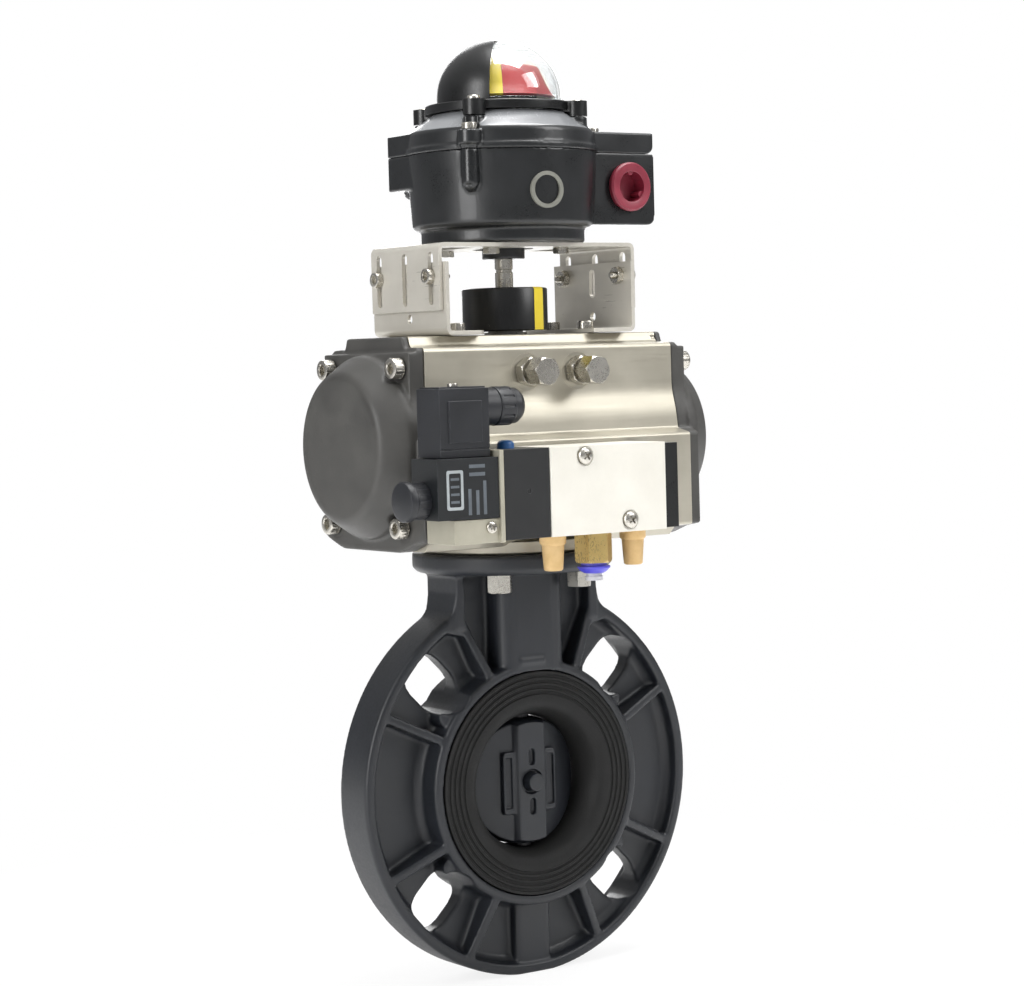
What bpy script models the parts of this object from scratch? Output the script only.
"""Pneumatically operated wafer butterfly valve, DN80, with its switch box and solenoid valve.

The flow runs along Y, the valve stem stands along +Z, and the actuator lies along X.
The origin is the middle of the small flat foot under the valve body, on the stem's axis.
Dimensions are millimetres from the centre of the flow bore; the model itself is in metres.
"""

import math

import bpy
import bmesh
from mathutils import Matrix, Vector

MM = 0.001
GAP = 0.3

# Valve body
BORE_HEIGHT = 99.2
RIM_RADIUS = 100.0
RIM_INNER_RADIUS = 94.5
RIM_HALF_WIDTH = 13.0
WEB_HALF_THICKNESS = 4.4
HUB_RADIUS = 63.0
HUB_HALF_WIDTH = 19.0
LINER_RECESS_RADIUS = 59.4
LINER_RECESS_FLOOR = 14.0
HUB_BORE_RADIUS = 44.0
RIB_ANGLES = (25.5, 64.7)
RIB_THICKNESS = 4.6
SLOT_CENTRE_RADIUS = 78.0
SLOT_RADIUS = 11.3
SLOT_LENGTH = 33.0
NECK_HALF_WIDTH = 43.7
NECK_WALL = 5.0
NECK_HALF_DEPTH = 14.0
NECK_WALL_BOTTOM = 82.0
NECK_WINDOW_FLOOR = 74.0
COLUMN_HALF_WIDTH = 20.0
COLUMN_HALF_DEPTH = 19.6
COLUMN_CHAMFER = 6.0
COLUMN_BOTTOM = 52.0
LOWER_COLUMN_HALF_WIDTH = 11.0
LOWER_COLUMN_CHAMFER = 2.5
LOWER_COLUMN_BOTTOM = -97.0
EJECTOR_BOSS_ANGLE = 36.5
EJECTOR_BOSS_RADIUS = 5.2
FLANGE_RADIUS = 51.5
FLANGE_BOTTOM = 109.6
FLANGE_TOP = 119.7
BOLT_CIRCLE_RADIUS = 35.0
BOLT_RADIUS = 4.0

# Rubber seat liner
LINER_RADIUS = 59.0
LINER_HALF_WIDTH = 19.8
LINER_MOUTH_RADIUS = 39.0
LINER_BORE_RADIUS = 34.0

# Disc and stem
DISC_RADIUS = 33.4
DISC_SLOPE_END = 30.0
DISC_BOSS_HALF_WIDTH = 9.4
DISC_BOSS_HALF_DEPTH = 13.5
DISC_BOSS_HALF_HEIGHT = 27.0
DISC_HUB_HALF_HEIGHT = 31.5
DISC_PIN_RADIUS = 5.4
DISC_PIN_END = 17.8
DISC_POCKET_HEIGHT = 12.8
STEM_RADIUS = 6.5
STEM_BOTTOM = -84.0
STEM_SQUARE = 9.0
STEM_TOP = 148.0

# Actuator
ACTUATOR_HALF_LENGTH = 76.0
ACTUATOR_BOTTOM = 124.0
ACTUATOR_PAD_BOTTOM = 120.0
ACTUATOR_PAD_RADIUS = 46.0
ACTUATOR_TOP = 230.0
CYLINDER_HEIGHT = 175.5
CYLINDER_RADIUS = 40.0
CAP_FLANGE_END = 85.0
CAP_PAD_FACE = 50.5
CAP_BOTTOM_HALF_WIDTH = 27.0
CAP_CREST_END = 80.0
CAP_SHOULDER = 222.2
CAP_DOME_START = 88.0
CAP_DOME_END = 102.0
CAP_DOME_RADIUS = 45.5
CAP_FACE_RADIUS = 34.5
CAP_SCREW_Y = 32.5
CAP_SCREW_Z = 39.0
CAP_SCREW_RADIUS = 3.0
CAP_POCKET_RADIUS = 7.6
STOP_BOLT_X = 15.5
STOP_BOLT_HEIGHT = 211.0
STOP_BOLT_RADIUS = 4.0
STOP_HEX_RADIUS = 7.6
FRONT_FACE = 40.2

# Rack and pinion
GEAR_MODULE = 2.0
PINION_TEETH = 16
PITCH_RADIUS = GEAR_MODULE * PINION_TEETH / 2
PRESSURE_ANGLE = math.radians(20)
ADDENDUM = 1.8
DEDENDUM = 2.4
TOOTH_SLACK = 0.16
PINION_SHAFT_RADIUS = 11.0
RACK_BACK = 28.0
RACK_HALF_HEIGHT = 9.0
RACK_END = 34.0
PISTON_RADIUS = 39.7
PISTON_INNER_FACE = 36.5
PISTON_OUTER_FACE = 48.5

# Indicator puck and switch shaft
PUCK_RADIUS = 22.0
PUCK_BOTTOM = 232.0
PUCK_TOP = 254.0
SWITCH_SHAFT_RADIUS = 4.65
SWITCH_SHAFT_BOTTOM = 244.0
SWITCH_SHAFT_TOP = 352.0

# Mounting bracket, bent from sheet
SHEET = 2.0
BRACKET_HALF_SPAN = 60.4
BRACKET_HALF_WIDTH = 34.0
BRACKET_TOP = 276.0
BRACKET_SIDE_BOTTOM = 242.5
LEG_TOP = 266.5
LEG_HOLE_HEIGHT = 238.8
FOOT_BOTTOM = 230.3
FOOT_INNER_END = 34.0
BRACKET_SLOT_Y = (-24.0, 0.0, 24.0)

# Limit switch box
BOX_BASE_RADIUS = 42.0
BOX_BASE_BOTTOM = 276.3
BOX_BOTTOM = 283.0
BOX_RADIUS = 47.5
BOX_INNER_RADIUS = 43.0
BOX_SEAM = 322.0
LID_TOP = 334.0
LID_EAR_TOP = 331.6
LID_CONE_TOP = 342.7
CONDUIT_X = 61.0
CONDUIT_FACE = -27.0
CONDUIT_HEIGHT = 305.0
CONDUIT_RADIUS = 9.6
LUG_END = 78.4
LUG_BOTTOM = 285.5
LEFT_LUG_BOTTOM = 305.0
DOME_PLATE_BOTTOM = 343.0
DOME_PLATE_TOP = 347.6
DOME_RADIUS = 31.3
DOME_TOP = 381.0
WINDOW_AZIMUTHS = (2.0, 182.0)
WINDOW_HALF_WIDTH = 20.6
DRUM_RADIUS = 25.0
DRUM_TOP = 371.0
DOME_EAR_AZIMUTHS = (-52.5, 37.5, 127.5, 217.5)
DOME_EAR_CIRCLE = 41.0
LID_BOLT_CIRCLE = 49.0
LUG_BOLT_PLACE = (43.0, -20.5)
POST_BOTTOM = 302.0

# Solenoid valve on the actuator's front pad
PAD_FACE = 54.75
VALVE_BACK = 55.05
VALVE_FRONT = 86.0
VALVE_HALF_WIDTH = 35.0
VALVE_BOTTOM = 131.2
VALVE_TOP = 174.6
PORT_Y = -71.5
SPOOL_HEIGHT = 157.0
SPOOL_RADIUS = 8.0
COIL_LEFT = -99.5
PLATE_RIGHT = -62.1
COIL_HEIGHT = 151.6
COIL_TUBE_RADIUS = 5.0
CABLE_Y = -71.3
CABLE_HEIGHT = 195.2
COIL_FRONT = 85.0
COIL_BACK = 62.8
SILENCER_X = 24.5
OVERRIDE_X = -51.0
OVERRIDE_RADIUS = 4.2
OVERRIDE_BOTTOM = 169.5


# ---------------------------------------------------------------- scene and helpers


def clear_scene():
    for obj in list(bpy.data.objects):
        bpy.data.objects.remove(obj, do_unlink=True)
    scene = bpy.context.scene
    for child in list(scene.collection.children):
        scene.collection.children.unlink(child)


def new_collection(name):
    collection = bpy.data.collections.new(name)
    bpy.context.scene.collection.children.link(collection)
    return collection


def new_material(name, colour, roughness, metallic=0.0):
    material = bpy.data.materials.new(name)
    material.use_nodes = True
    shader = material.node_tree.nodes["Principled BSDF"]
    shader.inputs["Base Color"].default_value = (*colour, 1.0)
    shader.inputs["Roughness"].default_value = roughness
    shader.inputs["Metallic"].default_value = metallic
    material.diffuse_color = (*colour, 1.0)
    return material


def new_object(name, bm, collection, origin):
    """Turns a shape drawn in millimetres from the bore's centre into an object with this origin."""
    bmesh.ops.translate(bm, vec=-Vector(origin), verts=bm.verts)
    bmesh.ops.scale(bm, vec=(MM, MM, MM), verts=bm.verts)
    bmesh.ops.recalc_face_normals(bm, faces=bm.faces)
    mesh = bpy.data.meshes.new(name)
    bm.to_mesh(mesh)
    bm.free()
    obj = bpy.data.objects.new(name, mesh)
    collection.objects.link(obj)
    obj.parent = BORE_CENTRE
    obj.location = Vector(origin) * MM
    return obj


def axis_turn(axis):
    """The rotation that brings local +Z onto the given axis."""
    return Vector((0, 0, 1)).rotation_difference(Vector(axis)).to_matrix().to_4x4()


def block(low, high):
    bm = bmesh.new()
    bmesh.ops.create_cube(bm, size=1.0)
    low, high = Vector(low), Vector(high)
    size = high - low
    bmesh.ops.scale(bm, vec=size, verts=bm.verts)
    bmesh.ops.translate(bm, vec=(low + high) / 2, verts=bm.verts)
    return bm


def rod(start, end, radius, sides=24, end_radius=None, turn=0.0):
    """A cylinder, cone or prism between two points; six sides make a hexagon."""
    start, end = Vector(start), Vector(end)
    bm = bmesh.new()
    bmesh.ops.create_cone(
        bm,
        cap_ends=True,
        segments=sides,
        radius1=radius,
        radius2=radius if end_radius is None else end_radius,
        depth=(end - start).length,
    )
    bmesh.ops.rotate(bm, matrix=Matrix.Rotation(math.radians(turn), 3, "Z"), verts=bm.verts)
    place = Matrix.Translation((start + end) / 2) @ axis_turn(end - start)
    bmesh.ops.transform(bm, matrix=place, verts=bm.verts)
    return bm


def extruded(outline, start, end, axis):
    """A closed outline drawn across the axis and pushed along it. X: (y, z), Y: (x, z), Z: (x, y)."""
    lift = {
        "X": lambda a, b: (start, a, b),
        "Y": lambda a, b: (a, start, b),
        "Z": lambda a, b: (a, b, start),
    }[axis]
    push = Vector([end - start if letter == axis else 0 for letter in "XYZ"])
    bm = bmesh.new()
    face = bm.faces.new([bm.verts.new(lift(a, b)) for a, b in outline])
    made = bmesh.ops.extrude_face_region(bm, geom=[face])["geom"]
    moved = [item for item in made if isinstance(item, bmesh.types.BMVert)]
    bmesh.ops.translate(bm, vec=push, verts=moved)
    return bm


def turned(profile, axis=(0, 0, 1), sides=48):
    """A profile of (radius, height) spun about an axis through the origin."""
    bm = bmesh.new()
    verts = [bm.verts.new((radius, 0, height)) for radius, height in profile]
    pairs = list(zip(verts, verts[1:]))
    if profile[0][0] > 0:
        pairs.append((verts[-1], verts[0]))
    edges = [bm.edges.new(pair) for pair in pairs]
    bmesh.ops.spin(
        bm,
        geom=verts + edges,
        cent=(0, 0, 0),
        axis=(0, 0, 1),
        angle=math.tau,
        steps=sides,
        use_merge=True,
    )
    bmesh.ops.remove_doubles(bm, verts=bm.verts, dist=0.001)
    bmesh.ops.transform(bm, matrix=axis_turn(axis), verts=bm.verts)
    return bm


def piece(name, bm, material, origin=(0, 0, 0)):
    obj = new_object(name, bm, PARTS, origin)
    obj.data.materials.append(material)
    return obj


def combine(target, shapes, operation):
    """Joins or cuts each shape with the target. The shapes are named for what they leave."""
    origin = target.location / MM
    for name, bm in shapes.items():
        tool = new_object(f"{target.name}_{name}", bm, CUTTERS, origin)
        tool.hide_render = True
        tool.display_type = "WIRE"
        modifier = target.modifiers.new(f"{operation.lower()} {name}", "BOOLEAN")
        modifier.operation = operation
        modifier.solver = "MANIFOLD"
        modifier.object = tool
    return target


def cut(target, **shapes):
    return combine(target, shapes, "DIFFERENCE")


def add(target, **shapes):
    return combine(target, shapes, "UNION")


def on_circle(radius, degrees):
    angle = math.radians(degrees)
    return radius * math.cos(angle), radius * math.sin(angle)


def from_front(radius, azimuth):
    """X and Y of a point at this radius, its azimuth counted from the front towards +X."""
    angle = math.radians(azimuth)
    return radius * math.sin(angle), -radius * math.cos(angle)


def chamfered_box(half_width, half_depth, chamfer):
    """A rectangle about the origin with its four corners cut off."""
    quarter = [(half_width, half_depth - chamfer), (half_width - chamfer, half_depth)]
    front = [(-x, y) for x, y in reversed(quarter)]
    return quarter + front + [(-x, -y) for x, y in quarter + front]


def slot_outline(centre, direction, length, half_width, arc_steps=6):
    """A round-ended slot as an outline."""
    centre, along = Vector(centre), Vector(on_circle(1, direction))
    reach = length / 2 - half_width
    points = []
    for end in (1, -1):
        for step in range(arc_steps + 1):
            angle = direction + 180 * (end < 0) - 90 + 180 * step / arc_steps
            offset = Vector(on_circle(half_width, angle))
            points.append(tuple(centre + along * reach * end + offset))
    return points


# ---------------------------------------------------------------- valve body, liner, disc


def radial_rib(angle):
    """A rib from the hub's ring to the rim, as deep as each of them at its ends."""
    inner, outer = HUB_RADIUS - 2, RIM_RADIUS - 3
    hub, rim = HUB_HALF_WIDTH - 0.8, RIM_HALF_WIDTH - 0.8
    outline = [(inner, -hub), (outer, -rim), (outer, rim), (inner, hub)]
    bm = extruded(outline, -RIB_THICKNESS / 2, RIB_THICKNESS / 2, "Z")
    spin = Matrix.Rotation(math.radians(-angle), 3, "Y") @ Matrix.Identity(3)
    bmesh.ops.rotate(bm, matrix=spin, verts=bm.verts)
    return bm


def quadrant_angles(angles):
    return [a for angle in angles for a in (angle, 180 - angle, 180 + angle, 360 - angle)]


def make_valve_body():
    rim, web, hub = RIM_HALF_WIDTH, WEB_HALF_THICKNESS, HUB_HALF_WIDTH
    half = [
        (RIM_RADIUS, rim),
        (RIM_INNER_RADIUS, rim),
        (RIM_INNER_RADIUS - 1.5, web),
        (HUB_RADIUS + 1, web),
        (HUB_RADIUS, hub),
        (HUB_BORE_RADIUS - 4, hub),
    ]
    profile = half + [(radius, -height) for radius, height in reversed(half)]
    body = piece("valve_body", turned(profile, (0, 1, 0), 60), PVC)

    lip = 2.0
    flange_profile = [
        (0, FLANGE_BOTTOM),
        (FLANGE_RADIUS - lip, FLANGE_BOTTOM),
        (FLANGE_RADIUS, FLANGE_BOTTOM + lip),
        (FLANGE_RADIUS, FLANGE_TOP),
        (0, FLANGE_TOP),
    ]
    top_flange = turned(flange_profile, sides=40)
    neck_inside = NECK_HALF_WIDTH - NECK_WALL
    wall_top = FLANGE_BOTTOM + 2
    window_back = RIM_HALF_WIDTH + 5
    front_window = block((-neck_inside, -window_back, NECK_WINDOW_FLOOR), (neck_inside, -web, 108))
    rear_window = block((-neck_inside, web, NECK_WINDOW_FLOOR), (neck_inside, window_back, 108))
    cut(body, rear_neck_window=rear_window, front_neck_window=front_window)

    column = chamfered_box(COLUMN_HALF_WIDTH, COLUMN_HALF_DEPTH, COLUMN_CHAMFER)
    lower_half = LOWER_COLUMN_HALF_WIDTH
    lower_column = chamfered_box(lower_half, lower_half, LOWER_COLUMN_CHAMFER)
    plate_low = (-neck_inside - 1, -web + 0.2, NECK_WALL_BOTTOM - 2)
    plate_high = (neck_inside + 1, web - 0.2, wall_top)
    add(body, neck_plate=block(plate_low, plate_high))
    for side, near, far in (
        ("left", -NECK_HALF_WIDTH, -neck_inside),
        ("right", neck_inside, NECK_HALF_WIDTH),
    ):
        low = (near, -NECK_HALF_DEPTH, NECK_WALL_BOTTOM)
        high = (far, NECK_HALF_DEPTH, wall_top)
        add(body, **{f"{side}_neck_wall": block(low, high)})
    add(
        body,
        stem_column=extruded(column, COLUMN_BOTTOM, wall_top, "Z"),
        lower_stem_column=extruded(lower_column, LOWER_COLUMN_BOTTOM, -COLUMN_BOTTOM, "Z"),
        top_flange=top_flange,
    )
    for number, angle in enumerate(quadrant_angles(RIB_ANGLES), 1):
        add(body, **{f"rib_{number}": radial_rib(angle)})
    for number, angle in enumerate(quadrant_angles((EJECTOR_BOSS_ANGLE,)), 1):
        x, z = on_circle(HUB_RADIUS + 1.0, angle)
        boss = rod((x, -15, z), (x, 15, z), EJECTOR_BOSS_RADIUS, 16)
        add(body, **{f"ejector_boss_{number}": boss})
    recess = LINER_RECESS_FLOOR
    cut(
        body,
        hub_bore=rod((0, -recess - 20, 0), (0, recess + 20, 0), HUB_BORE_RADIUS, 40),
        front_recess=rod((0, -recess - 20, 0), (0, -recess, 0), LINER_RECESS_RADIUS, 40),
        rear_recess=rod((0, recess, 0), (0, recess + 20, 0), LINER_RECESS_RADIUS, 40),
    )
    for number, angle in enumerate(quadrant_angles((45,)), 1):
        centre = on_circle(SLOT_CENTRE_RADIUS, angle)
        outline = slot_outline(centre, angle, SLOT_LENGTH, SLOT_RADIUS, 5)
        cut(body, **{f"flange_bolt_slot_{number}": extruded(outline, -20, 20, "Y")})
    cut(
        body,
        stem_bore=rod((0, 0, 30), (0, 0, FLANGE_TOP + 5), STEM_RADIUS + GAP, 16),
        lower_stem_bore=rod((0, 0, STEM_BOTTOM - GAP), (0, 0, -30), STEM_RADIUS + GAP, 16),
        foot=block((-40, -40, -BORE_HEIGHT - 20), (40, 40, -BORE_HEIGHT)),
    )
    for name, (x, y) in flange_bolt_places().items():
        hole = rod((x, y, FLANGE_BOTTOM - 4), (x, y, FLANGE_TOP + 4), BOLT_RADIUS + GAP, 12)
        cut(body, **{f"{name}_hole": hole})
    return body


def flange_bolt_places():
    names = ("rear_right", "rear_left", "front_left", "front_right")
    places = [on_circle(BOLT_CIRCLE_RADIUS, 45 + 90 * quarter) for quarter in range(4)]
    return dict(zip(names, places))


def make_liner():
    width, recess = LINER_HALF_WIDTH, LINER_RECESS_FLOOR + GAP
    half = [
        (LINER_BORE_RADIUS, 14.0),
        (LINER_BORE_RADIUS + 1.4, 17.4),
        (LINER_MOUTH_RADIUS, width),
        (LINER_RADIUS, width),
        (LINER_RADIUS, recess),
        (HUB_BORE_RADIUS - GAP, recess),
    ]
    profile = half + [(radius, -height) for radius, height in reversed(half)]
    liner = piece("seat_liner", turned(profile, (0, 1, 0), 36), EPDM)
    return cut(liner, stem_hole=rod((0, 0, -60), (0, 0, 60), STEM_RADIUS + GAP, 16))


def disc_outline():
    """The disc from above as (x, y): thin at its edges and thickest along the stem."""
    ridge = (DISC_BOSS_HALF_WIDTH, DISC_BOSS_HALF_DEPTH - 1.7)
    quarter = [(DISC_RADIUS + 1, 1.0), (DISC_SLOPE_END, 3.0), ridge]
    rear = quarter + [(-x, y) for x, y in reversed(quarter)]
    return rear + [(x, -y) for x, y in reversed(rear)]


def make_disc():
    roof = extruded(disc_outline(), -DISC_RADIUS - 1, DISC_RADIUS + 1, "Z")
    disc = piece("disc", roof, PVC)
    steps = 14
    angles = [math.pi * step / steps for step in range(1, steps)]
    ball = [(DISC_RADIUS * math.sin(a), DISC_RADIUS * math.cos(a)) for a in angles]
    ball = [(0, DISC_RADIUS)] + ball + [(0, -DISC_RADIUS)]
    combine(disc, {"ball": turned(ball, (0, 1, 0), 32)}, "INTERSECT")
    wide, deep, tall = DISC_BOSS_HALF_WIDTH, DISC_BOSS_HALF_DEPTH, DISC_BOSS_HALF_HEIGHT
    hub_end = DISC_HUB_HALF_HEIGHT
    add(
        disc,
        stem_hub=rod((0, 0, -hub_end), (0, 0, hub_end), wide, 16),
        stem_boss=extruded(chamfered_box(wide, deep, 3.0), -tall, tall, "Z"),
        pin_boss=rod((0, -DISC_PIN_END, 0), (0, DISC_PIN_END, 0), DISC_PIN_RADIUS, 24),
    )
    for name, height in (("upper", DISC_POCKET_HEIGHT), ("lower", -DISC_POCKET_HEIGHT)):
        pocket = block((-1.9, -deep - 2, height - 3), (1.9, -deep + 2.4, height + 3))
        cut(disc, **{f"{name}_pocket": pocket})
    return cut(disc, stem_bore=rod((0, 0, -40), (0, 0, 40), STEM_RADIUS + GAP, 16))


def make_stem():
    stem = piece("stem", rod((0, 0, STEM_BOTTOM), (0, 0, FLANGE_TOP + 0.5), STEM_RADIUS, 16), STEEL)
    half = STEM_SQUARE / 2
    add(stem, drive_square=block((-half, -half, FLANGE_TOP - 2), (half, half, STEM_TOP)))
    return stem


# ---------------------------------------------------------------- actuator


def actuator_outline():
    """The extrusion's cross-section as (y, z): square shoulders, and a wide pad low on the front."""
    front = [
        (-26.0, ACTUATOR_TOP),
        (-28.0, 224.8),
        (-FRONT_FACE + 1.5, 224.0),
        (-FRONT_FACE, 222.6),
        (-FRONT_FACE, 200.5),
        (-43.6, 188.5),
        (-44.8, 179.8),
        (-PAD_FACE + 0.6, 177.6),
        (-PAD_FACE, 176.8),
        (-PAD_FACE, 130.2),
        (-PAD_FACE + 1.2, 129.2),
        (-40.0, 128.4),
        (-35.5, ACTUATOR_BOTTOM),
    ]
    rear = [
        (35.5, ACTUATOR_BOTTOM),
        (40.0, 128.4),
        (44.8, 131.0),
        (44.8, 179.8),
        (43.6, 188.5),
        (FRONT_FACE, 200.5),
        (FRONT_FACE, 222.6),
        (FRONT_FACE - 1.5, 224.0),
        (28.0, 224.8),
        (26.0, ACTUATOR_TOP),
    ]
    return front + rear


def end_cap_outline():
    """The caps follow the body, set back from its front pad and narrower at the bottom."""
    set_back = PAD_FACE - CAP_PAD_FACE
    outline = []
    for y, z in actuator_outline():
        if abs(y) > PAD_FACE - 2:
            y += set_back
        if z <= ACTUATOR_BOTTOM:
            y = math.copysign(CAP_BOTTOM_HALF_WIDTH, y)
        outline.append((y, z))
    return outline


def cap_screw_places():
    names = ("upper_rear", "upper_front", "lower_front", "lower_rear")
    signs = ((1, 1), (-1, 1), (-1, -1), (1, -1))
    return {
        name: (y * CAP_SCREW_Y, CYLINDER_HEIGHT + z * CAP_SCREW_Z)
        for name, (y, z) in zip(names, signs)
    }


def make_actuator_body():
    body = piece(
        "actuator_body",
        extruded(actuator_outline(), -ACTUATOR_HALF_LENGTH, ACTUATOR_HALF_LENGTH, "X"),
        ALUMINIUM,
    )
    reach = ACTUATOR_HALF_LENGTH + 5
    pad = rod((0, 0, ACTUATOR_PAD_BOTTOM), (0, 0, ACTUATOR_BOTTOM + 2), ACTUATOR_PAD_RADIUS, 40)
    add(body, mounting_pad=pad)
    below, above = (0, 0, ACTUATOR_BOTTOM - 5), (0, 0, ACTUATOR_TOP + 5)
    cut(
        body,
        cylinder=rod((-reach, 0, CYLINDER_HEIGHT), (reach, 0, CYLINDER_HEIGHT), CYLINDER_RADIUS, 40),
        pinion_bore=rod(below, above, PINION_SHAFT_RADIUS + GAP, 24),
    )
    for side, x in (("left", -STOP_BOLT_X), ("right", STOP_BOLT_X)):
        start, end = (x, -FRONT_FACE - 5, STOP_BOLT_HEIGHT), (x, -12, STOP_BOLT_HEIGHT)
        cut(body, **{f"{side}_stop_hole": rod(start, end, STOP_BOLT_RADIUS + GAP, 12)})
    for end, side in ((-1, "left"), (1, "right")):
        for name, (y, z) in cap_screw_places().items():
            hole = rod((end * reach, y, z), (end * 59, y, z), CAP_SCREW_RADIUS + GAP, 10)
            cut(body, **{f"{side}_{name}_hole": hole})
    for name, (x, y) in flange_bolt_places().items():
        hole = rod((x, y, ACTUATOR_BOTTOM - 5), (x, y, 133), BOLT_RADIUS + GAP, 12)
        cut(body, **{f"{name}_hole": hole})
    return body


def make_end_cap(side, end):
    """end is -1 for the left cap and 1 for the right one."""
    near = end * (ACTUATOR_HALF_LENGTH + GAP)
    flange = extruded(end_cap_outline(), near, end * CAP_FLANGE_END, "X")
    cap = piece(f"{side}_end_cap", flange, CAP_PAINT)
    crest = block((CAP_CREST_END, -50, CAP_SHOULDER), (CAP_DOME_END, 50, ACTUATOR_TOP + 5))
    if end < 0:
        bmesh.ops.rotate(crest, matrix=Matrix.Rotation(math.pi, 3, "Z"), verts=crest.verts)
    cut(cap, crest=crest)
    dome = turned(
        [
            (0, CAP_FLANGE_END - 2),
            (CAP_DOME_RADIUS, CAP_FLANGE_END - 2),
            (CAP_DOME_RADIUS, CAP_DOME_START),
            (CAP_FACE_RADIUS + 2, CAP_DOME_END - 0.7),
            (CAP_FACE_RADIUS, CAP_DOME_END),
            (0, CAP_DOME_END),
        ],
        (end, 0, 0),
        40,
    )
    bmesh.ops.translate(dome, vec=(0, 0, CYLINDER_HEIGHT), verts=dome.verts)
    add(cap, dome=dome)
    for name, (y, z) in cap_screw_places().items():
        pocket = rod((end * CAP_FLANGE_END, y, z), (end * 100, y, z), CAP_POCKET_RADIUS, 16)
        hole = rod((end * 70, y, z), (end * 100, y, z), CAP_SCREW_RADIUS + GAP, 10)
        cut(cap, **{f"{name}_pocket": pocket, f"{name}_hole": hole})
    centre = CYLINDER_HEIGHT
    return cut(cap, recess=rod((end * 70, 0, centre), (end * 90, 0, centre), 34, 32))


def socket_screw(name, head_base, direction, head, shank):
    """A socket head screw whose head stands from head_base; head and shank are (radius, length)."""
    head_radius, head_height = head
    shank_radius, shank_length = shank
    base, way = Vector(head_base), Vector(direction).normalized()
    screw = piece(name, rod(base, base + way * head_height, head_radius, 14), STAINLESS)
    add(screw, shank=rod(base - way * shank_length, base + way * 0.5, shank_radius, 8))
    socket = rod(base + way * head_height * 0.4, base + way * (head_height + 1), head_radius * 0.52, 6)
    return cut(screw, socket=socket)


def make_cap_screws():
    for side, end in (("left", -1), ("right", 1)):
        for name, (y, z) in cap_screw_places().items():
            base = (end * (CAP_FLANGE_END + GAP), y, z)
            shank = (CAP_SCREW_RADIUS, 24)
            socket_screw(f"{side}_cap_screw_{name}", base, (end, 0, 0), (5.2, 6.0), shank)


def make_flange_bolts():
    for name, (x, y) in flange_bolt_places().items():
        top = FLANGE_BOTTOM - GAP
        head = rod((x, y, top - 9.3), (x, y, top), 6.6, 6, turn=12)
        bolt = piece(f"flange_bolt_{name}", head, STAINLESS)
        add(bolt, shank=rod((x, y, top - 1), (x, y, 132), BOLT_RADIUS, 12))


def make_stops():
    for side, x in (("left", -STOP_BOLT_X), ("right", STOP_BOLT_X)):
        z = STOP_BOLT_HEIGHT
        nut_back, nut_front = -FRONT_FACE - GAP, -FRONT_FACE - 6.2
        hexagon = rod((x, nut_back, z), (x, nut_front, z), STOP_HEX_RADIUS, 6, turn=8)
        nut = piece(f"{side}_stop_nut", hexagon, STAINLESS)
        cut(nut, thread=rod((x, -30, z), (x, -60, z), STOP_BOLT_RADIUS + GAP, 12))
        head = rod((x, nut_front - 3.4, z), (x, nut_front - 12.5, z), STOP_HEX_RADIUS, 6, turn=22)
        bolt = piece(f"{side}_stop_bolt", head, STAINLESS)
        add(bolt, shank=rod((x, nut_front - 5, z), (x, -21, z), STOP_BOLT_RADIUS, 12))


# ---------------------------------------------------------------- rack and pinion


def involute_point(base_radius, radius):
    """Polar angle of the involute of base_radius where it reaches radius."""
    roll = math.sqrt(max((radius / base_radius) ** 2 - 1, 0))
    return roll - math.atan(roll)


def pinion_outline():
    base = PITCH_RADIUS * math.cos(PRESSURE_ANGLE)
    tip, root = PITCH_RADIUS + ADDENDUM, PITCH_RADIUS - DEDENDUM
    half_pitch_tooth = (math.pi * GEAR_MODULE / 2 - TOOTH_SLACK) / 2 / PITCH_RADIUS
    at_pitch = involute_point(base, PITCH_RADIUS)
    flank = [(root, half_pitch_tooth + at_pitch)]
    for step in range(3):
        radius = base + (tip - base) * step / 2
        flank.append((radius, half_pitch_tooth + at_pitch - involute_point(base, radius)))
    tooth = [(radius, -angle) for radius, angle in flank] + list(reversed(flank))
    points = []
    for number in range(PINION_TEETH):
        centre = math.pi / 2 + number * math.tau / PINION_TEETH
        for radius, angle in tooth:
            points.append((radius * math.cos(centre + angle), radius * math.sin(centre + angle)))
    return points


def make_pinion():
    z = CYLINDER_HEIGHT
    gear = extruded(pinion_outline(), z - RACK_HALF_HEIGHT - 1, z + RACK_HALF_HEIGHT + 1, "Z")
    pinion = piece("pinion", gear, STEEL)
    add(
        pinion,
        shaft=rod((0, 0, ACTUATOR_PAD_BOTTOM + 1), (0, 0, PUCK_BOTTOM - 0.6), PINION_SHAFT_RADIUS, 24),
        top_stub=rod((0, 0, PUCK_BOTTOM - 2), (0, 0, 243), 9.0, 24),
    )
    half = STEM_SQUARE / 2 + GAP
    socket = block((-half, -half, ACTUATOR_BOTTOM - 5), (half, half, STEM_TOP + GAP))
    return cut(pinion, stem_socket=socket)


def rack_outline():
    """The rack arm seen from above, teeth towards the pinion on the -Y side, as (x, y)."""
    pitch = math.pi * GEAR_MODULE
    half_pitch_tooth = (pitch / 2 - TOOTH_SLACK) / 2
    slope = math.tan(PRESSURE_ANGLE)
    root, tip = PITCH_RADIUS + DEDENDUM, PITCH_RADIUS - ADDENDUM
    half_root = half_pitch_tooth + DEDENDUM * slope
    half_tip = half_pitch_tooth - ADDENDUM * slope
    points = [(-PISTON_INNER_FACE - 2, RACK_BACK), (-PISTON_INNER_FACE - 2, root)]
    for number in range(-2, 5):
        x = (number + 0.5) * pitch
        points += [(x - half_root, root), (x - half_tip, tip)]
        points += [(x + half_tip, tip), (x + half_root, root)]
    points += [(RACK_END, root), (RACK_END, RACK_BACK)]
    return points


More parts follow.
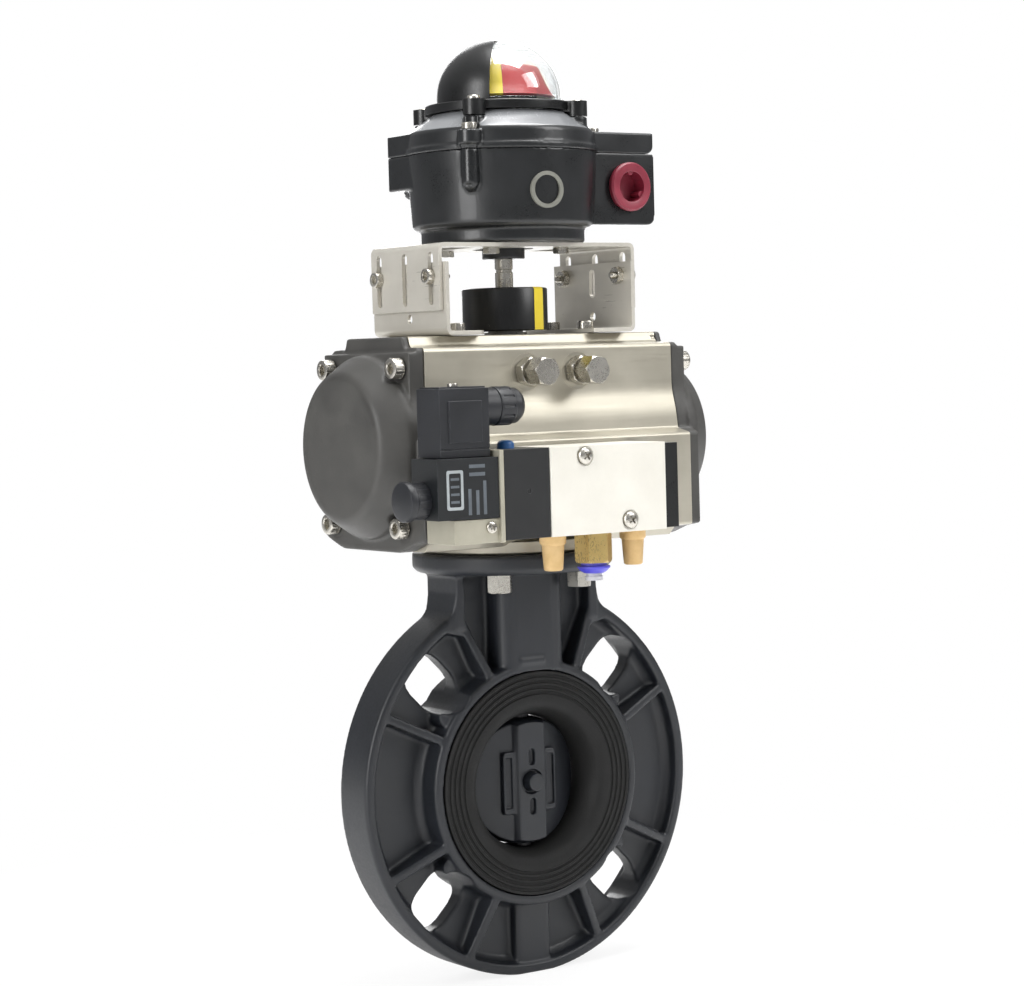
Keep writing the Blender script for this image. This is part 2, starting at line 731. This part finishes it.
def make_piston(side, end):
    """end is -1 for the left piston, whose rack runs behind the pinion, and 1 for the right one."""
    z = CYLINDER_HEIGHT
    crown = rod((end * PISTON_INNER_FACE, 0, z), (end * PISTON_OUTER_FACE, 0, z), PISTON_RADIUS, 40)
    piston = piece(f"{side}_piston", crown, ALUMINIUM_CAST, (end * PISTON_INNER_FACE, 0, z))
    outline = [(-end * x, -end * y) for x, y in rack_outline()]
    add(piston, rack=extruded(outline, z - RACK_HALF_HEIGHT, z + RACK_HALF_HEIGHT, "Z"))
    hollow_start, hollow_end = end * (PISTON_INNER_FACE + 7), end * (PISTON_OUTER_FACE + 5)
    return cut(piston, hollow=rod((hollow_start, 0, z), (hollow_end, 0, z), 30, 32))


# ---------------------------------------------------------------- puck, switch shaft, bracket


def make_puck():
    bottom, top = PUCK_BOTTOM, PUCK_TOP
    puck = piece("position_puck", rod((0, 0, bottom), (0, 0, top), PUCK_RADIUS, 40), BLACK_PLASTIC)
    cut(
        puck,
        pinion_socket=rod((0, 0, bottom - 5), (0, 0, 243.3), 9.3, 24),
        shaft_socket=rod((0, 0, 242), (0, 0, top + 5), SWITCH_SHAFT_RADIUS + GAP, 16),
    )
    return puck


def make_switch_shaft():
    return piece(
        "switch_shaft",
        rod((0, 0, SWITCH_SHAFT_BOTTOM), (0, 0, SWITCH_SHAFT_TOP), SWITCH_SHAFT_RADIUS, 16),
        STAINLESS,
    )


def make_bracket():
    half, width, top = BRACKET_HALF_SPAN, BRACKET_HALF_WIDTH, BRACKET_TOP
    inside = half - SHEET
    bottom = BRACKET_SIDE_BOTTOM
    side = [(half, top), (half, bottom), (inside, bottom), (inside, top - SHEET)]
    channel = side + [(-x, z) for x, z in reversed(side)]
    plate_width = width - 2.5
    plate = piece("bracket_top_plate", extruded(channel, -plate_width, plate_width, "Y"), STAINLESS)
    for number, y in enumerate(BRACKET_SLOT_Y, 1):
        slot = extruded(slot_outline((y, 258.4), 90, 26.4, 2.4, 4), -70, 70, "X")
        cut(plate, **{f"slot_{number}": slot})
    cut(
        plate,
        shaft_hole=rod((0, 0, top - 5), (0, 0, top + 5), 15.5, 32),
        left_window=block((-45, -18, top - 5), (-30, 18, top + 5)),
        right_window=block((30, -18, top - 5), (45, 18, top + 5)),
    )
    for side_name, end in (("left", -1), ("right", 1)):
        outer = end * (inside - GAP)
        inner = outer - end * SHEET
        foot_top = FOOT_BOTTOM + SHEET
        angle = [
            (outer, LEG_TOP),
            (outer, FOOT_BOTTOM + 2.5),
            (outer - end * 2.5, FOOT_BOTTOM),
            (end * FOOT_INNER_END, FOOT_BOTTOM),
            (end * FOOT_INNER_END, foot_top),
            (inner, foot_top),
            (inner, LEG_TOP),
        ]
        leg = piece(f"bracket_{side_name}_leg", extruded(angle, -width, width, "Y"), STAINLESS)
        if end > 0:
            slot = extruded(slot_outline((0, 256), 90, 15, 2.4, 4), 50, 70, "X")
            cut(leg, middle_slot=slot)
        side_hole = rod((end * 50, 0, LEG_HOLE_HEIGHT), (end * 70, 0, LEG_HOLE_HEIGHT), 2.3, 12)
        cut(leg, side_hole=side_hole)
        for name, y in (("front", -15), ("rear", 15)):
            hole = rod((end * 40, y, FOOT_BOTTOM - 3), (end * 40, y, foot_top + 3), 2.8, 12)
            cut(leg, **{f"{name}_foot_hole": hole})


# ---------------------------------------------------------------- limit switch box


def box_lugs(right_bottom, left_bottom, top):
    """The square lug with the cable entry on the right, and the small one at the left rear."""
    return {
        "right_lug": block((30, CONDUIT_FACE, right_bottom), (LUG_END, 12, top)),
        "left_lug": block((-46, 8, left_bottom), (-24, 36, top)),
    }


def lid_bolt_places():
    """Three of the lid's bolts stand in ears round the barrel, and the fourth in the right lug."""
    return {
        "front_left": from_front(LID_BOLT_CIRCLE, -52.5),
        "front_right": LUG_BOLT_PLACE,
        "rear_right": from_front(LID_BOLT_CIRCLE, 127.5),
        "rear_left": from_front(LID_BOLT_CIRCLE, 217.5),
    }


def make_box_housing():
    base = rod((0, 0, BOX_BASE_BOTTOM), (0, 0, BOX_BOTTOM + 1), BOX_BASE_RADIUS, 40)
    housing = piece("switch_box_housing", base, BOX_PAINT)
    add(housing, shaft_boss=rod((0, 0, BOX_BASE_BOTTOM - 7.5), (0, 0, BOX_BASE_BOTTOM + 2), 11.0, 24))
    add(housing, barrel=rod((0, 0, BOX_BOTTOM), (0, 0, BOX_SEAM), BOX_RADIUS, 40))
    add(housing, **box_lugs(LUG_BOTTOM, LEFT_LUG_BOTTOM, BOX_SEAM))
    for name, (x, y) in lid_bolt_places().items():
        add(housing, **{f"{name}_post": rod((x, y, POST_BOTTOM), (x, y, BOX_SEAM), 4.6, 16)})
    shaft_radius = SWITCH_SHAFT_RADIUS + GAP
    cut(
        housing,
        chamber=rod((0, 0, BOX_BOTTOM + 3), (0, 0, BOX_SEAM + 5), BOX_INNER_RADIUS, 40),
        shaft_bore=rod((0, 0, BOX_BASE_BOTTOM - 12), (0, 0, BOX_BOTTOM + 5), shaft_radius, 16),
        lug_cavity=block((28, CONDUIT_FACE + 12, LUG_BOTTOM + 4), (LUG_END - 4, 8, BOX_SEAM + 5)),
        conduit=rod(
            (CONDUIT_X, CONDUIT_FACE - 5, CONDUIT_HEIGHT),
            (CONDUIT_X, CONDUIT_FACE + 14, CONDUIT_HEIGHT),
            CONDUIT_RADIUS + GAP,
            32,
        ),
    )
    for name, (x, y) in lid_bolt_places().items():
        cut(housing, **{f"{name}_thread": rod((x, y, 308), (x, y, BOX_SEAM + 5), 2.0, 10)})
    return housing


def make_box_lid():
    bottom = BOX_SEAM + GAP
    lid = piece("switch_box_lid", rod((0, 0, bottom), (0, 0, LID_TOP), BOX_RADIUS + 0.5, 40), BOX_PAINT)
    add(lid, **box_lugs(bottom, bottom, LID_TOP))
    add(lid, cone=rod((0, 0, LID_TOP - 1), (0, 0, LID_CONE_TOP), 45.5, 40, end_radius=35.0))
    for name, (x, y) in lid_bolt_places().items():
        add(lid, **{f"{name}_ear": rod((x, y, bottom), (x, y, LID_EAR_TOP), 4.8, 16)})
    cut(
        lid,
        chamber=rod((0, 0, bottom - 5), (0, 0, LID_TOP - 3), BOX_INNER_RADIUS - 3, 32),
        shaft_bore=rod((0, 0, LID_TOP - 10), (0, 0, LID_CONE_TOP + 5), SWITCH_SHAFT_RADIUS + GAP, 16),
    )
    for name, (x, y) in lid_bolt_places().items():
        pocket = rod((x, y, LID_EAR_TOP), (x, y, LID_TOP + 12), 4.9, 16)
        hole = rod((x, y, bottom - 5), (x, y, LID_TOP + 5), 2.3, 10)
        cut(lid, **{f"{name}_pocket": pocket, f"{name}_hole": hole})
    return lid


def make_lid_bolts():
    for name, (x, y) in lid_bolt_places().items():
        base = (x, y, LID_EAR_TOP + GAP)
        socket_screw(f"lid_bolt_{name}", base, (0, 0, 1), (3.9, 4.0), (1.7, 22))


def dome_shell(outer, thickness, bottom, top, foot_radius, foot_top):
    """A round-topped cup with a flange at its foot, open below, as a profile of (radius, height)."""
    rise = outer * 0.93
    wall_top = top - rise
    inner, inner_rise = outer - thickness, rise - thickness
    steps = 4
    angles = [math.pi / 2 * step / steps for step in range(1, steps)]
    outside = [(outer * math.cos(a), wall_top + rise * math.sin(a)) for a in reversed(angles)]
    inside = [(inner * math.cos(a), wall_top + inner_rise * math.sin(a)) for a in angles]
    foot = [(outer, foot_top), (foot_radius, foot_top), (foot_radius, bottom)]
    profile = [(0, top)] + outside + [(outer, wall_top)] + foot
    return profile + [(inner, bottom), (inner, wall_top)] + inside + [(0, top - thickness)]


def make_dome_frame():
    """The fixed black moulding: an eared plate, and a half-shell open where the drum shows."""
    bottom, top = DOME_PLATE_BOTTOM, DOME_PLATE_TOP
    shell = dome_shell(29.2, 1.1, bottom, DOME_TOP - 2.2, 38.0, top)
    frame = piece("dome_frame", turned(shell, sides=24), BLACK_PLASTIC)
    for number, azimuth in enumerate(DOME_EAR_AZIMUTHS, 1):
        x, y = from_front(DOME_EAR_CIRCLE, azimuth)
        add(frame, **{f"ear_{number}": rod((x, y, bottom + 0.2), (x, y, top - 0.2), 5.4, 12)})
    for number, azimuth in enumerate(WINDOW_AZIMUTHS, 1):
        window = block((-WINDOW_HALF_WIDTH, -40, top + 0.4), (WINDOW_HALF_WIDTH, -4, 376.0))
        turn = Matrix.Rotation(math.radians(azimuth), 3, "Z")
        bmesh.ops.rotate(window, matrix=turn, verts=window.verts)
        cut(frame, **{f"window_{number}": window})


def make_dome_cover():
    bottom = DOME_PLATE_TOP + GAP
    shell = dome_shell(DOME_RADIUS, 1.8, bottom, DOME_TOP, DOME_RADIUS + 2.6, bottom + 1.4)
    piece("dome_cover", turned(shell, sides=24), CLEAR_PLASTIC)


def make_indicator_drum():
    radius, bottom, top, wall = DRUM_RADIUS, 348.0, DRUM_TOP, 2.0
    shoulder = [(radius - 6.3, top - 0.7), (radius - 1.6, top - 6.2), (radius, top - 9.5)]
    outside = [(0, top)] + shoulder + [(radius, bottom)]
    inside = [
        (radius - wall, bottom),
        (radius - wall, top - 9.9),
        (radius - wall - 1.3, top - 7.6),
        (radius - wall - 5.3, top - 2.8),
        (0, top - wall),
    ]
    drum = piece("indicator_drum", turned(outside + inside, sides=20), YELLOW_PLASTIC)
    reach = radius - 1.2
    hub = rod((0, 0, 353), (0, 0, top - 0.8), 6.2, 16)
    add(drum, hub=hub, spoke=block((-reach, -1.5, 354), (reach, 1.5, 359)))
    socket = rod((0, 0, bottom), (0, 0, SWITCH_SHAFT_TOP + GAP), SWITCH_SHAFT_RADIUS + GAP, 16)
    cut(drum, shaft_socket=socket)


def make_switch_works():
    """The cams on the shaft and the switches they press."""
    for name, low, azimuth in (("lower", 300, 100), ("upper", 312, 10)):
        cam = piece(f"{name}_switch_cam", rod((0, 0, low), (0, 0, low + 8), 12, 32), RED_PLASTIC)
        x, y = from_front(9.5, azimuth)
        add(cam, lobe=rod((x, y, low + 1), (x, y, low + 7), 5.5, 16))
        cut(cam, shaft_bore=rod((0, 0, low - 3), (0, 0, low + 11), SWITCH_SHAFT_RADIUS + GAP, 16))
    stack = piece("micro_switches", block((-34, -5, 299), (-17.5, 15, 309)), BLACK_PLASTIC)
    add(
        stack,
        upper_switch=block((-34, -5, 311), (-17.5, 15, 321)),
        carrier=block((-36, -3, BOX_BOTTOM + 3 + GAP), (-33, 13, 322)),
    )


def make_conduit_plug():
    """The red transport plug in the right-hand cable entry."""
    x, z, face = CONDUIT_X, CONDUIT_HEIGHT, CONDUIT_FACE
    flange = rod((x, face - GAP, z), (x, face - 3.6, z), 12.6, 32)
    plug = piece("conduit_plug", flange, RED_PLASTIC)
    add(plug, stub=rod((x, face - 1, z), (x, face + 9, z), CONDUIT_RADIUS, 32))
    cut(plug, hollow=rod((x, face - 8, z), (x, face + 6, z), 7.9, 24))


# ---------------------------------------------------------------- solenoid valve


def make_valve_block():
    half = VALVE_HALF_WIDTH
    body = piece(
        "pilot_valve_block",
        block((-half, -VALVE_FRONT, VALVE_BOTTOM), (half, -VALVE_BACK, VALVE_TOP)),
        SATIN_ALUMINIUM,
    )
    y = PORT_Y
    spool_hole = rod((-half - 5, y, SPOOL_HEIGHT), (half + 5, y, SPOOL_HEIGHT), SPOOL_RADIUS + GAP, 12)
    cut(
        body,
        spool_bore=spool_hole,
        left_exhaust=rod((-SILENCER_X, y, VALVE_BOTTOM - 5), (-SILENCER_X, y, SPOOL_HEIGHT), 5.1, 16),
        right_exhaust=rod((SILENCER_X, y, VALVE_BOTTOM - 5), (SILENCER_X, y, SPOOL_HEIGHT), 5.1, 16),
        supply_port=rod((0, y, VALVE_BOTTOM - 5), (0, y, SPOOL_HEIGHT), 5.1, 16),
    )
    for name, (x, z) in face_screw_places().items():
        cut(body, **{f"{name}_screw_hole": rod((x, -90, z), (x, -50, z), 2.6, 12)})


def face_screw_places():
    return {"upper": (-14.2, 169.6), "lower": (12.4, 137.0)}


def make_valve_ends():
    y, z = PORT_Y, SPOOL_HEIGHT
    half = VALVE_HALF_WIDTH + GAP
    low = (-61.8, -VALVE_FRONT + 0.4, VALVE_BOTTOM)
    high = (-half, -VALVE_BACK - 1, VALVE_TOP)
    left = piece("left_valve_cover", block(low, high), BLACK_PLASTIC)
    cut(left, spool_end=rod((-46, y, z), (-30, y, z), SPOOL_RADIUS + GAP, 12))
    low = (half, -VALVE_FRONT + 0.4, VALVE_BOTTOM + 0.6)
    high = (43.2, -VALVE_BACK - 1, VALVE_TOP - 0.6)
    right = piece("right_valve_cover", block(low, high), BLACK_PLASTIC)
    cut(right, spool_end=rod((30, y, z), (41, y, z), SPOOL_RADIUS + GAP, 12))
    x, reach = OVERRIDE_X, OVERRIDE_RADIUS + GAP
    cut(left, override_bore=rod((x, y, OVERRIDE_BOTTOM - 2), (x, y, VALVE_TOP + 5), reach, 16))


def make_spool():
    """The spool with its sealing lands; it slides along X."""
    lands = [(0, -44), (8, -44), (8, -32)]
    for start in (-22, -3, 16):
        lands += [(4.5, start - 9), (4.5, start), (8, start), (8, start + 6), (4.5, start + 6)]
    lands += [(4.5, 30), (8, 30), (8, 34), (0, 34)]
    profile = [(radius, height) for radius, height in lands]
    bm = turned(profile, (1, 0, 0), 12)
    bmesh.ops.translate(bm, vec=(0, PORT_Y, SPOOL_HEIGHT), verts=bm.verts)
    piece("spool", bm, ALUMINIUM_CAST, (0, PORT_Y, SPOOL_HEIGHT))


def make_override():
    x, y, low = OVERRIDE_X, PORT_Y, OVERRIDE_BOTTOM
    button = rod((x, y, low), (x, y, VALVE_TOP + 4.0), OVERRIDE_RADIUS, 20)
    piece("override_button", button, BLUE_PLASTIC, (x, y, low))


def make_coil():
    front, back = -COIL_FRONT, -COIL_BACK
    y, z = PORT_Y, COIL_HEIGHT
    bore = COIL_TUBE_RADIUS + GAP
    plate = block((-64.4, -VALVE_FRONT, 130.4), (PLATE_RIGHT, -56.5, VALVE_TOP))
    pilot = piece("pilot_plate", plate, SATIN_ALUMINIUM)
    add(
        pilot,
        tube=rod((-107, y, z), (PLATE_RIGHT - 1.9, y, z), COIL_TUBE_RADIUS, 20),
        base=block((-90, -84, 130.4), (-64, -60, 142.1)),
    )
    winding = block((COIL_LEFT, front, 142.4), (-64.7, back, 171.4))
    coil = piece("solenoid_coil", winding, COIL_PLASTIC)
    cut(coil, tube_bore=rod((COIL_LEFT - 5, y, z), (-60, y, z), bore, 20))
    knob = rod((-111.5, y, z), (COIL_LEFT - GAP, y, z), 9.6, 24)
    nut = piece("coil_nut", knob, COIL_PLASTIC)
    cut(nut, tube_bore=rod((-108.5, y, z), (-90, y, z), bore, 20))

    y, z = CABLE_Y, CABLE_HEIGHT
    plug = block((-94.6, y - 9.7, 171.7), (-65.2, y + 10.1, 203))
    connector = piece("coil_connector", plug, CONNECTOR_PLASTIC)
    add(connector, outlet=rod((-68, y, z), (-58.6, y, z), 9.2, 24))
    piece("cable_gland_nut", rod((-58.3, y, z), (-42.5, y, z), 9.6, 8), CONNECTOR_PLASTIC)


def make_air_fittings():
    y = PORT_Y
    for side, x in (("left", -SILENCER_X), ("right", SILENCER_X)):
        top = VALVE_BOTTOM - GAP
        silencer = rod((x, y, top - 18.5), (x, y, top), 5.2, 24, end_radius=6.4)
        muffler = piece(f"{side}_silencer", silencer, SINTERED_BRASS)
        add(muffler, thread=rod((x, y, top - 1), (x, y, 140), 4.8, 16))
    top = VALVE_BOTTOM - GAP
    fitting = piece("push_in_fitting", rod((0, y, top - 14.8), (0, y, top), 9.6, 6, turn=10), BRASS)
    add(fitting, thread=rod((0, y, top - 1), (0, y, 140), 4.8, 16))
    cut(fitting, collar_bore=rod((0, y, top - 25), (0, y, top - 8), 6.8, 24))
    cut(fitting, air_way=rod((0, y, top - 25), (0, y, 145), 3.0, 16))
    collar = rod((0, y, top - 19), (0, y, top - 11), 6.5, 24)
    ring = piece("release_collar", collar, BLUE_PLASTIC, (0, y, top))
    add(ring, lip=rod((0, y, top - 20), (0, y, top - 16.8), 7.4, 24))
    cut(ring, tube_way=rod((0, y, top - 25), (0, y, top - 2), 4.1, 20))


def make_face_screws():
    for name, (x, z) in face_screw_places().items():
        head = rod((x, -VALVE_FRONT - GAP, z), (x, -VALVE_FRONT - 2.6, z), 4.2, 20)
        screw = piece(f"{name}_valve_screw", head, STAINLESS)
        add(screw, shank=rod((x, -VALVE_FRONT - 1, z), (x, -VALVE_BACK - 1, z), 2.2, 12))


# ---------------------------------------------------------------- build

clear_scene()
PARTS = new_collection("butterfly_valve")
CUTTERS = new_collection("cutters")
BORE_CENTRE = bpy.data.objects.new("bore_centre", None)
PARTS.objects.link(BORE_CENTRE)
BORE_CENTRE.location = (0, 0, BORE_HEIGHT * MM)

PVC = new_material("pvc", (0.035, 0.042, 0.055), 0.45)
EPDM = new_material("epdm", (0.018, 0.018, 0.017), 0.7)
STEEL = new_material("steel", (0.55, 0.55, 0.55), 0.35, 1.0)
STAINLESS = new_material("stainless", (0.6, 0.59, 0.56), 0.28, 1.0)
ALUMINIUM = new_material("aluminium", (0.5, 0.48, 0.42), 0.42, 0.85)
ALUMINIUM_CAST = new_material("cast_aluminium", (0.52, 0.52, 0.52), 0.5, 0.9)
SATIN_ALUMINIUM = new_material("satin_aluminium", (0.82, 0.81, 0.77), 0.35, 0.7)
CAP_PAINT = new_material("cap_paint", (0.085, 0.083, 0.078), 0.55)
BOX_PAINT = new_material("box_paint", (0.02, 0.022, 0.024), 0.42)
BLACK_PLASTIC = new_material("black_plastic", (0.022, 0.022, 0.023), 0.4)
COIL_PLASTIC = new_material("coil_plastic", (0.02, 0.026, 0.03), 0.45)
CONNECTOR_PLASTIC = new_material("connector_plastic", (0.035, 0.038, 0.045), 0.5)
CLEAR_PLASTIC = new_material("clear_plastic", (0.9, 0.9, 0.9), 0.05)
YELLOW_PLASTIC = new_material("yellow_plastic", (0.78, 0.62, 0.05), 0.4)
RED_PLASTIC = new_material("red_plastic", (0.3, 0.03, 0.06), 0.45)
BLUE_PLASTIC = new_material("blue_plastic", (0.06, 0.09, 0.55), 0.4)
BRASS = new_material("brass", (0.45, 0.33, 0.12), 0.35, 0.9)
SINTERED_BRASS = new_material("sintered_brass", (0.62, 0.42, 0.17), 0.55, 0.8)

make_valve_body()
make_liner()
make_disc()
make_stem()
make_actuator_body()
for cap_side, cap_end in (("left", -1), ("right", 1)):
    make_end_cap(cap_side, cap_end)
    make_piston(cap_side, cap_end)
make_cap_screws()
make_flange_bolts()
make_stops()
make_pinion()
make_puck()
make_switch_shaft()
make_bracket()
make_box_housing()
make_box_lid()
make_lid_bolts()
make_dome_frame()
make_dome_cover()
make_indicator_drum()
make_switch_works()
make_conduit_plug()
make_valve_block()
make_valve_ends()
make_spool()
make_override()
make_coil()
make_air_fittings()
make_face_screws()
